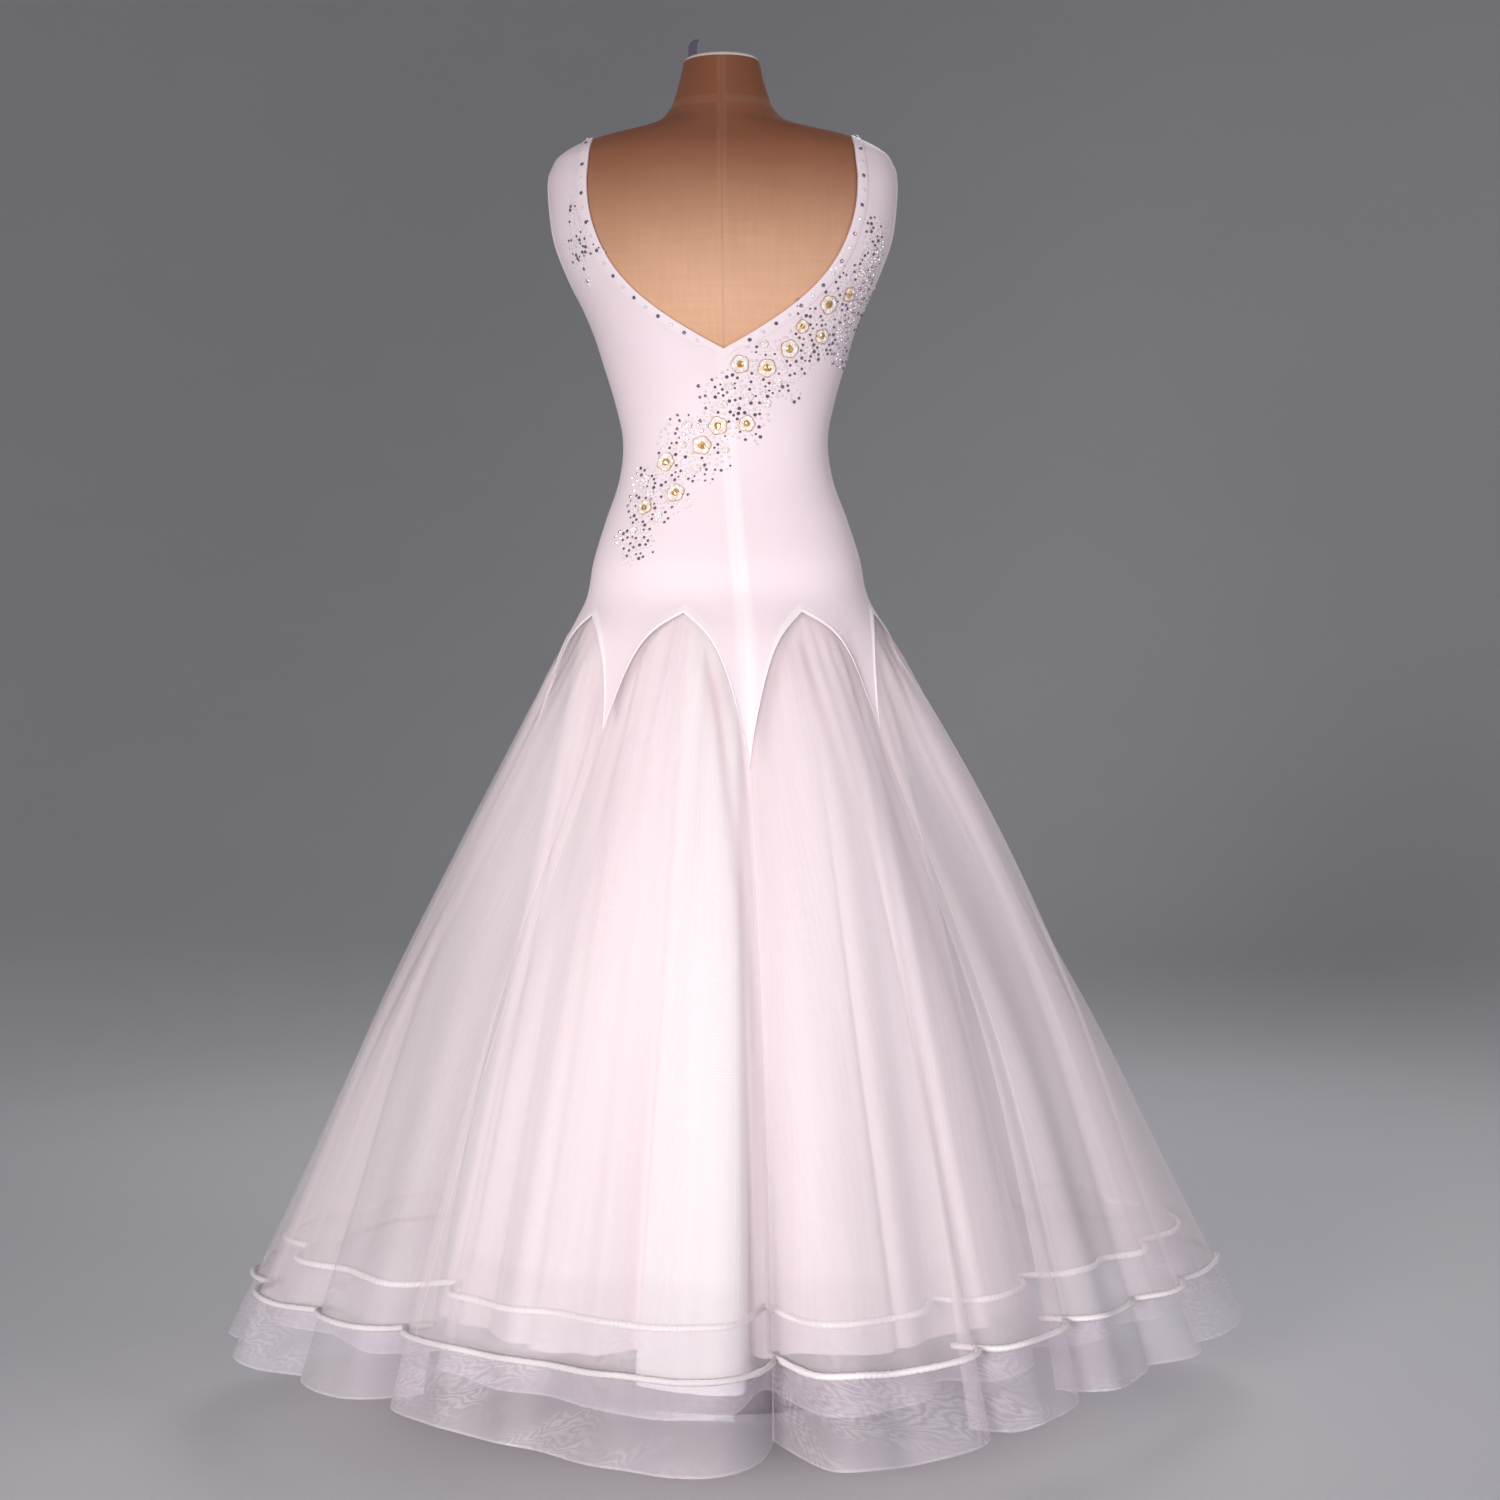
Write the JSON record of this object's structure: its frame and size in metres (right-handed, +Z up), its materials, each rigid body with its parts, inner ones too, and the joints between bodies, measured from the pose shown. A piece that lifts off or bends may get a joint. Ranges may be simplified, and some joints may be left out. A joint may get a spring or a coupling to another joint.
{
  "type": "ballroom dance dress on dress form",
  "caption": "Sleeveless ballroom dance dress with a low V back and a full, sheer gored skirt, on a limbless dress form with a pole stand.",
  "frame": {"origin": "centre of the stand base's underside, on the floor under the pole", "axes": "+Z up, -Y out of the back of the dress, +X to the wearer's right"},
  "size_m": [1.1627, 1.1695, 1.5596],
  "materials": {
    "stretch_cloth": "matte stretch crepe, white with a faint pink cast",
    "organza": "sheer white organza",
    "stiff_net": "sheer stiffened net, pale lilac white",
    "satin_cord": "white satin cord",
    "lining_satin": "smooth white lining satin",
    "form_canvas": "tan linen canvas",
    "cap_board": "pale tan board",
    "grey_tape": "grey woven tape",
    "stand_metal": "satin metal",
    "flower_beads": "white and gold beads and stones"
  },
  "bodies": {
    "root": {"bodice_back_left": "stretch_cloth", "bodice_back_right": "stretch_cloth", "bodice_front": "stretch_cloth", "neck_binding": "stretch_cloth", "back_zip": "stretch_cloth", "skirt_gore_1": "organza", "skirt_gore_2": "organza", "skirt_gore_3": "organza", "skirt_gore_4": "organza", "skirt_gore_5": "organza", "skirt_gore_6": "organza", "skirt_gore_7": "organza", "skirt_gore_8": "organza", "under_skirt": "organza", "hem_band": "stiff_net", "under_band": "stiff_net", "hem_cord": "satin_cord", "under_cord": "satin_cord", "lining": "lining_satin", "form_torso": "form_canvas", "neck_cap": "cap_board", "tape_tab": "grey_tape", "stand_base": "stand_metal", "stand_pole": "stand_metal", "stand_flange": "stand_metal", "flower_01": "flower_beads", "flower_02": "flower_beads", "flower_03": "flower_beads", "flower_04": "flower_beads", "flower_05": "flower_beads", "flower_06": "flower_beads", "flower_07": "flower_beads", "flower_08": "flower_beads", "flower_09": "flower_beads", "flower_10": "flower_beads", "flower_11": "flower_beads", "flower_12": "flower_beads", "flower_13": "flower_beads"}
  },
  "joints": []
}
